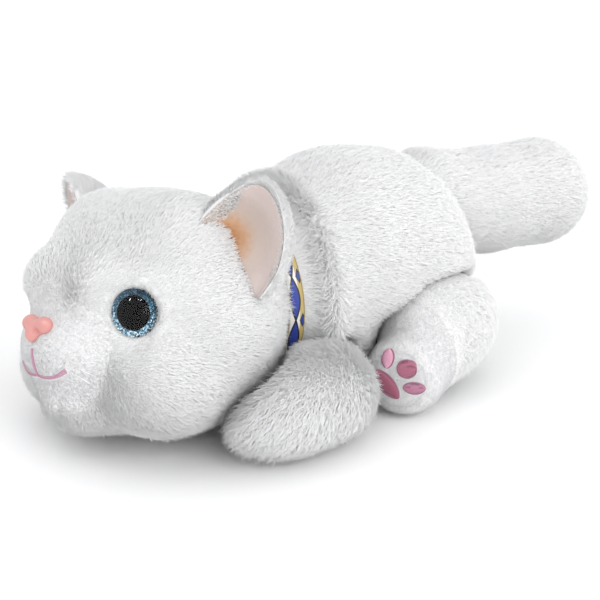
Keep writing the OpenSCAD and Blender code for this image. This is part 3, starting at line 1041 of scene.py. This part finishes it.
def ear_fur(obj, name, side):
    """Long pile on the back of the ear and round its rim."""
    u = np.linspace(0, 1, 60)
    base, edge = (ear_sheet(u, v, EAR_TILT[name]) for v in (0 * u, 0 * u + 1))

    def length(p, n):
        q = mirrored(to_head(p), side)
        beyond = ((q[:, None] - edge) ** 2).sum(2).argmin(1)
        outside = ((q - edge[beyond]) * (edge - base)[beyond]).sum(1) > -2
        outside &= (beyond > 10) & (beyond < 54)
        facing = (n @ HEAD_M)[:, 0]
        long = np.where((facing > -0.3) | outside, 4.2, 0)
        return np.where(head_shape(p) < -2, 0, np.minimum(long, np.maximum(1.2, head_shape(p) * 0.8) + 1))

    def shade(p, n):
        q = mirrored(to_head(p), side)
        from_rim = np.sqrt(((q[:, None] - edge) ** 2).sum(2).min(1))
        rim = (1 - step_up(from_rim, 3, 8))[:, None]
        return n + rim * (-1.6, -0.3, 1.0)

    fur(f"ear_fur_{name}", obj, f"ear_{name}", "white_fur", FUR_TONES, 260, length,
        np.array((-0.2, 0.75 * side, 0.65)) @ HEAD_M.T, 60 + side, lean=0.7, roundness=0.4, shade=shade)


# ---- eyes ----


def give(material, *names):
    for name in names:
        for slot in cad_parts[name].material_slots:
            slot.material = material


def dome_material():
    material, tree, shader = new_material(
        "clear_acrylic", (1, 1, 1), 0.03, Transmission_Weight=1.0, IOR=1.2)
    tree.links.new(maths(tree, "MULTIPLY", noise(tree, 120, 1), 0.05), shader.inputs["Roughness"])
    return material


def black_material():
    """Black plastic under the dome, with hardly any shine of its own."""
    material, tree, shader = new_material("black_plastic", (0, 0, 0), 0.6, Specular_IOR_Level=0.02)
    coloured(tree, shader, noise(tree, 200, 2), ((0.0005, 0.0005, 0.0008), (0.0015, 0.0015, 0.002)))
    return material


def glitter_material(name, centre_z):
    """Flakes in lacquer: painted shade makes them dark teal above the middle of the eye, and painted light
    makes them ice blue below it.
    """
    material, tree, shader = new_material(name, (0.1, 0.3, 0.4), 0.35, Metallic=0.25)
    place = place_of(tree)
    flakes = node(tree, "ShaderNodeTexVoronoi", Scale=1600)
    tree.links.new(place, flakes.inputs["Vector"])
    chance = node(tree, "ShaderNodeSeparateColor")
    tree.links.new(flakes.outputs["Color"], chance.inputs["Color"])
    split = node(tree, "ShaderNodeSeparateXYZ")
    tree.links.new(place, split.inputs["Vector"])
    calc = functools.partial(maths, tree)
    # Painted shade and light: the flakes darken towards the top of the eye and brighten towards the bottom.
    # Their tone also differs at random from flake to flake.
    low = 0.5 - centre_z / (2 * EYE_R)
    height = calc("MULTIPLY_ADD", split.outputs["Z"], 1 / (2 * EYE_R * MM), low)
    mixed = calc("MULTIPLY_ADD", chance.outputs["Red"], 1.1, calc("MULTIPLY", height, 0.75))
    tone = calc("SUBTRACT", mixed, 0.28)
    ice, teal = (0.80, 0.95, 1.0), (0.01, 0.045, 0.075)
    tones = (ice, (0.14, 0.38, 0.55), (0.03, 0.11, 0.18), teal, (0.006, 0.02, 0.035))
    coloured(tree, shader, tone, tones)
    bumped(tree, shader, chance.outputs["Green"], 0.5, 0.0002)
    return material


def make_eyes():
    give(dome_material(), "eye_dome_left", "eye_dome_right")
    give(black_material(), "eye_pupil_left", "eye_pupil_right", "eye_back_left", "eye_back_right")
    washer = moulded_material("washer_plastic", (0.86, 0.86, 0.83), (0.80, 0.80, 0.77), 0.5)
    give(washer, "eye_washer_left", "eye_washer_right", "nose_washer")
    for name, side in SIDES.items():
        centre = from_head(mirrored(EYE_P, side))
        give(glitter_material(f"blue_glitter_{name}", centre[2]), f"eye_glitter_{name}")


# ---- nose, mouth and whiskers ----

WHISKERS = 8        # a side


def make_nose():
    middle = from_head(NOSE_P)
    points, quads = mesh_of(nose_shape, middle - 13, middle + 13, 0.6)
    material = moulded_material("nose_plastic", (0.70, 0.32, 0.29), (0.62, 0.26, 0.24), 0.5)
    obj = mesh_object("nose_moulding", points, quads, [material])
    subdivide(obj)
    placed(obj, "head", "nose_plastic", "nose")


def on_skin(shape, p, out):
    """Moves points to the given height above a skin."""
    for _ in range(6):
        p = p - (shape(p) - out)[..., None] * gradient(shape, p)
    return p


def even(points, spacing):
    """Points along a line at an even spacing, and how far along it each is, from 0 to 1."""
    run = np.concatenate(([0], np.cumsum(np.linalg.norm(np.diff(points, axis=0), axis=1))))
    at = np.linspace(0, run[-1], int(run[-1] / spacing) + 1)
    return np.stack([np.interp(at, run, points[:, i]) for i in range(3)], 1), at / run[-1]


def satin(centre, widths, shape, lift, low=-0.2, slant=0.25):
    """Threads laid side by side across a line on a skin."""
    along = unit(np.gradient(centre, axis=0))
    across = unit(np.cross(gradient(shape, centre), along) + along * slant)
    t = np.linspace(-1, 1, 5)
    paths = centre[:, None] + across[:, None] * (np.asarray(widths) / 2)[:, None, None] * t[:, None]
    return on_skin(shape, paths, lift * (1 - t**2) + low)


def make_mouth():
    parts = []
    for points, widths in mouth_lines():
        centre, share = even(points, 0.34)
        parts.append(satin(centre, np.interp(share, (0, 1), widths), head_shape, 1.15))
    points, faces = tubes(np.concatenate(parts), 0.24)
    mauve = thread_material("mouth_thread", (0.62, 0.34, 0.45), (0.50, 0.25, 0.35))
    placed(mesh_object("mouth_threads", points, faces, [mauve]), "head", "mouth_thread", "mouth_stitching")


def make_whiskers(name, side):
    fibre = moulded_material(f"whisker_fibre_{name}", (0.95, 0.95, 0.95), (0.86, 0.86, 0.87), 0.3)
    t = np.linspace(0, 1, 10)[:, None]
    paths = []
    for k in range(WHISKERS):
        root = on_muzzle(43 + 5 * (k % 3), 5 - 3 * k)
        aim = unit((0.60, 0.62, 0.10 - 0.11 * k))
        long = 34 - 2 * abs(k - 3)
        line = root + aim * t * long + np.array((0.35, 0.1, -1.0)) * t**2 * (1.5 + k % 3)
        paths.append(from_head(mirrored(line, side)))
    points, faces = tubes(paths, np.linspace(0.2, 0.05, 10)[None])
    obj = mesh_object(f"whisker_fibres_{name}", points, faces, [fibre])
    placed(obj, "head", "whisker_fibre", f"whiskers_{name}")


# ---- collar ----

RIBBON_LEAVES = 13      # round the whole ribbon
LEAF_ROW = 0.36         # the places across the ribbon run from 0 at its front edge to 1 at its rear edge
LEAF_HALF = 0.31
LEAF_EDGE = 0.055
BORDER_FROM = 0.64
LOZENGE_ROW = 0.82
COLLAR_STEPS = 300


def ribbon_material():
    """Satin ribbon: a row of blue leaves with black edges on ivory, and a gold border with blue lozenges."""
    material, tree, shader = new_material("ribbon_satin", (0.03, 0.06, 0.35), 0.38, Sheen_Weight=0.2)
    place = place_of(tree)
    outward = node(tree, "ShaderNodeVectorMath", operation="SUBTRACT")
    outward.inputs[1].default_value = tuple(NECK_P * MM)
    tree.links.new(place, outward.inputs[0])
    split = node(tree, "ShaderNodeSeparateXYZ")
    tree.links.new(outward.outputs["Vector"], split.inputs["Vector"])
    calc = functools.partial(maths, tree)
    turn = calc("ARCTAN2", split.outputs["Z"], split.outputs["Y"])
    leaf = calc("MULTIPLY_ADD", turn, RIBBON_LEAVES / math.tau, 0.35)
    first, last = (
        -math.cos(math.radians(COLLAR_LEAN + s * COLLAR_HALF)) * COLLAR_IN * MM for s in (-1, 1))
    across = calc("MULTIPLY_ADD", split.outputs["X"], 1 / (last - first), -first / (last - first))
    bow = calc("ABSOLUTE", calc("SINE", calc("MULTIPLY", leaf, math.pi)))
    half = calc("MULTIPLY", bow, LEAF_HALF)
    off = calc("ABSOLUTE", calc("SUBTRACT", across, LEAF_ROW))
    in_leaf = calc("LESS_THAN", off, half)
    on_edge = calc("LESS_THAN", calc("ABSOLUTE", calc("SUBTRACT", off, half)), LEAF_EDGE)
    in_border = calc("GREATER_THAN", across, BORDER_FROM)
    along = calc("FRACT", calc("ADD", leaf, 0.5))
    from_node = calc("ABSOLUTE", calc("SUBTRACT", along, 0.5))
    from_row = calc("ABSOLUTE", calc("SUBTRACT", across, LOZENGE_ROW))
    lozenge = calc("MULTIPLY_ADD", from_node, 6.5, calc("MULTIPLY", from_row, 5.5))
    colour = layered(tree, (0.80, 0.78, 0.74), (
        (in_border, (0.50, 0.38, 0.14)),
        (in_leaf, (0.022, 0.05, 0.34)),
        (on_edge, (0.008, 0.008, 0.012)),
        (calc("LESS_THAN", lozenge, 1.15), (0.008, 0.008, 0.012)),
        (calc("LESS_THAN", lozenge, 0.8), (0.02, 0.04, 0.26)),
    ))
    tree.links.new(colour, shader.inputs["Base Color"])
    weave = node(tree, "ShaderNodeTexWave", Scale=900, Distortion=0.4)
    tree.links.new(place, weave.inputs["Vector"])
    bumped(tree, shader, weave.outputs["Fac"], 0.25, 0.0001)
    return material


def collar_point(turn, polar, radius):
    polar = np.radians(polar)
    return NECK_P + radius[..., None] * np.stack(
        (-np.cos(polar) + 0 * turn, -np.sin(polar) * np.cos(turn), np.sin(polar) * np.sin(turn)), -1)


def make_collar():
    """A flat ribbon round the neck with a stitched edge on each side."""
    turn = np.arange(COLLAR_STEPS) * math.tau / COLLAR_STEPS
    w = np.linspace(-1, 1, 9)
    offset = np.concatenate((w, w[::-1]))
    height = np.concatenate((1.0 + 0.12 * (1 - w**2), np.zeros(9)))
    turn_grid, polar = np.meshgrid(turn, COLLAR_LEAN + COLLAR_HALF * offset, indexing="ij")
    points = collar_point(turn_grid, polar, COLLAR_IN + np.broadcast_to(height, polar.shape)).reshape(-1, 3)
    ring = np.arange(len(turn) * len(offset)).reshape(len(turn), len(offset))
    nxt, side = np.roll(ring, -1, 0), np.roll(ring, -1, 1)
    faces = np.stack((ring, nxt, np.roll(nxt, -1, 1), side), -1).reshape(-1, 4)
    ribbon = mesh_object("collar_band", points, fix_outward(points, faces), [ribbon_material()])
    placed(ribbon, "collar", "collar_ribbon", "collar_ribbon")
    turn = np.linspace(0, math.tau, COLLAR_STEPS + 1)
    raised = np.full(len(turn), COLLAR_IN + 0.95)
    edges = [collar_point(turn, COLLAR_LEAN + s * COLLAR_HALF * 0.96, raised) for s in (-1, 1)]
    points, faces = tubes(edges, 0.3)
    gold = thread_material("collar_edge_thread", (0.42, 0.32, 0.12), (0.28, 0.20, 0.07))
    placed(mesh_object("collar_edging", points, faces, [gold]), "collar", "collar_ribbon")


# ---- soles and pads ----

SOLE_R = 17
SOLE_ACROSS = np.array((0.526, -0.850, 0))
SOLE_UP = np.array((0.128, 0.079, 0.989))
TOES = [   # middle x, y on the sole, half length, half width, lean in degrees, pointedness
    (-6.8, 11.6, 5.9, 3.6, 90, 0.62),
    (4.8, 7.0, 5.4, 5.0, 10, 0.45),
    (10, -3.1, 6.4, 3.2, 3, 0.58),
]
MAIN_PAD = (-6.2, -3.3, 10.0, 4.7, -42, 0.72)
TOE_THREADS = [     # light and dark tone of each toe's thread
    ((0.78, 0.42, 0.55), (0.70, 0.33, 0.46)),
    ((0.50, 0.18, 0.26), (0.38, 0.11, 0.18)),
    ((0.54, 0.25, 0.36), (0.43, 0.17, 0.27)),
]


def on_sole(x, y, ahead=2.0):
    return FOOT_P + SOLE_AXIS * (SOLE_AT + ahead) + x[..., None] * SOLE_ACROSS + y[..., None] * SOLE_UP


def within_pad(p, pad, margin=0.3):
    """True where a point near the left sole lies on a pad."""
    x, y, half, wide, lean, point = pad
    q = p - FOOT_P
    dx, dy = q @ SOLE_ACROSS - x, q @ SOLE_UP - y
    c, s = math.cos(math.radians(lean)), math.sin(math.radians(lean))
    t = (dx * c + dy * s) / (half + margin)
    return np.abs(-dx * s + dy * c) < (wide + margin) * np.clip(1 - t**2, 0, 1) ** point


def pad_threads(pad, spacing=0.36):
    """Centre line, widths and border line of an embroidered pad."""
    x, y, half, wide, lean, point = pad
    c, s = math.cos(math.radians(lean)), math.sin(math.radians(lean))
    t = np.linspace(-0.985, 0.985, int(2 * half / spacing))
    line = on_sole(x + half * t * c, y + half * t * s)
    widths = 2 * wide * (1 - t**2) ** point
    angle = np.linspace(0, math.tau, 90)
    a, b = half * np.cos(angle), wide * np.abs(np.sin(angle)) ** (2 * point) * np.sign(np.sin(angle))
    return line, widths, on_sole(x + a * c - b * s, y + a * s + b * c)


def make_pads(name, side, label, pads, fills, edge):
    mirror = (1, -side, 1)
    points, faces, slots, count = [], [], [], 0
    for k, pad in enumerate(pads):
        line, widths, border = pad_threads(pad)
        fill = tubes(satin(on_skin(foot_shape, line, 0.6), widths, foot_shape, 0.8, 0.4), 0.25)
        rope = tubes(on_skin(foot_shape, border, 0.6)[None], 0.42, 6)
        for (p, f), tone in ((fill, k), (rope, len(pads))):
            points.append(p * mirror)
            faces.append(f + count)
            slots.append(np.full(len(f), tone))
            count += len(p)
    points, faces = np.concatenate(points), np.concatenate(faces)
    obj = mesh_object(f"{label}_threads_{name}", points, fix_outward(points, faces), [*fills, edge],
                      slots=np.concatenate(slots))
    slot = "toe_pad_thread" if label == "toe_pads" else "main_pad_thread"
    placed(obj, f"hind_leg_{name}", slot, f"{label}_{name}")


def make_sole(name, side):
    """A round velour panel that follows the foot, tucked into its seam at the rim."""
    r, angle = np.meshgrid(np.linspace(0.3, SOLE_R, 16), np.linspace(0, math.tau, 65)[:-1], indexing="ij")
    flat = on_sole(r * np.cos(angle), r * np.sin(angle))
    crown = 0.55 * (1 - (r / SOLE_R) ** 8) - 0.2
    points = np.concatenate([on_skin(foot_shape, flat, crown - deep).reshape(-1, 3) for deep in (0, 1.4)])
    rings, sides = r.shape
    index = np.arange(rings * sides).reshape(rings, sides)
    nxt = np.roll(index, -1, 1)
    quads = np.stack((index[:-1], nxt[:-1], nxt[1:], index[1:]), -1).reshape(-1, 4)
    size = rings * sides
    walls = [np.stack((index[k], nxt[k], nxt[k] + size, index[k] + size), -1)[:, ::step]
             for k, step in ((0, 1), (-1, -1))]
    faces = np.concatenate((quads, quads[:, ::-1] + size, *walls))
    points = points * (1, -side, 1)
    obj = mesh_object(f"sole_skin_{name}", points, fix_outward(points, faces), [short_cloth])
    placed(obj, f"hind_leg_{name}", "short_plush", f"foot_sole_{name}")

    def length(p, n):
        q = p * flip_for(side)
        covered = np.logical_or.reduce([within_pad(q, pad) for pad in (*TOES, MAIN_PAD)])
        return np.where(covered | ((n * flip_for(side)) @ SOLE_AXIS < 0.2), 0, 1.0)

    fur(f"sole_fur_{name}", obj, f"hind_leg_{name}", "short_plush", SHADED_SHORT_TONES, 420, length,
        (0, 0, -1.0), 44 + side, **SHORT_LAY)


# ---- care label ----


def make_label():
    """A blank folded satin label that stands out of the seam under the tail."""
    low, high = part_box("care_label")
    x, z = np.meshgrid(np.linspace(low[0] / MM - 1.5, high[0] / MM, 20),
                       np.linspace(low[2] / MM, high[2] / MM, 20), indexing="ij")
    share = (x - x.min()) / np.ptp(x)
    y = (low[1] + high[1]) / 2 / MM + 1.4 * np.sin(share * 2.6) * share
    sheet = np.stack((x, y, z), -1)
    points = np.concatenate([(sheet + (0, t, 0)).reshape(-1, 3) for t in (-0.18, 0.18)])
    faces = fix_outward(points, slab_faces(20, 20))
    material = thread_material("label_satin", (0.92, 0.92, 0.91), (0.84, 0.84, 0.83))
    label = mesh_object("label_strip", points, faces, [material])
    placed(label, "torso", "label_satin", "care_label")


for side_name, side_sign in SIDES.items():
    make_ear(side_name, side_sign)
    make_whiskers(side_name, side_sign)
    make_sole(side_name, side_sign)
    toe_fills = [
        thread_material(f"toe_thread_{k}_{side_name}", *tones) for k, tones in enumerate(TOE_THREADS)]
    edge_thread = thread_material(f"pad_edge_{side_name}", (0.40, 0.17, 0.25), (0.28, 0.11, 0.17))
    main_fill = thread_material(f"main_thread_{side_name}", (0.42, 0.13, 0.20), (0.32, 0.08, 0.14))
    make_pads(side_name, side_sign, "toe_pads", TOES, toe_fills, edge_thread)
    make_pads(side_name, side_sign, "main_pad", [MAIN_PAD], [main_fill], edge_thread)
make_eyes()
make_nose()
make_mouth()
make_collar()
make_label()

# ---- floor, lights and camera ----

FLOOR_HALF = 3000
WORLD_STRENGTH = 1.13
LIGHTS = [      # name, place, target, size, power, and whether cloth is lit too or only shiny things
    ("key", (0.0, -1.5, 0.8), (0, 0, 0.05), (1.2, 0.9), 9, True),
    ("eye_window", (-0.74, 0.195, 1.11), (-0.148, -0.045, 0.09), (0.22, 0.26), 10, False),
    ("eye_strip", (-0.386, -0.336, 1.23), (-0.145, -0.049, 0.09), (0.45, 0.09), 5, False),
]
CAMERA_TURN, CAMERA_RISE = math.radians(-35), math.radians(21)
CAMERA_AWAY = 0.95
CAMERA_TARGET = Vector((-0.0166, 0, 0.049))
SENSOR, LENS = 36, 103.2


def make_floor():
    corners = [(x * FLOOR_HALF, y * FLOOR_HALF, 0) for x, y in ((-1, -1), (1, -1), (1, 1), (-1, 1))]
    paper = new_material("floor_paper", (0.95, 0.95, 0.95), 0.9)[0]
    mesh_object("floor", corners, [(0, 1, 2, 3)], [paper])


def make_light(name, place, target, size, power, lights_cloth):
    data = bpy.data.lights.new(name, "AREA")
    data.shape = "RECTANGLE"
    data.size, data.size_y = size
    data.energy = power
    obj = bpy.data.objects.new(name, data)
    obj.location = place
    obj.rotation_euler = (Vector(target) - Vector(place)).to_track_quat("-Z", "Y").to_euler()
    obj.visible_diffuse = lights_cloth
    bpy.context.scene.collection.objects.link(obj)


def make_world():
    world = bpy.data.worlds.new("studio")
    world.use_nodes = True
    background = world.node_tree.nodes["Background"]
    background.inputs["Color"].default_value = (0.985, 0.99, 1.0, 1)
    background.inputs["Strength"].default_value = WORLD_STRENGTH
    bpy.context.scene.world = world


def make_camera():
    level = math.cos(CAMERA_RISE)
    back = Vector((math.sin(CAMERA_TURN) * level, -math.cos(CAMERA_TURN) * level, math.sin(CAMERA_RISE)))
    data = bpy.data.cameras.new("camera")
    data.sensor_width = SENSOR
    data.lens = LENS
    camera = bpy.data.objects.new("camera", data)
    camera.location = CAMERA_TARGET + back * CAMERA_AWAY
    camera.rotation_euler = (-back).to_track_quat("-Z", "Y").to_euler()
    bpy.context.scene.collection.objects.link(camera)
    bpy.context.scene.camera = camera


make_floor()
make_world()
for light in LIGHTS:
    make_light(*light)
make_camera()
bpy.context.scene.view_settings.view_transform = "Standard"
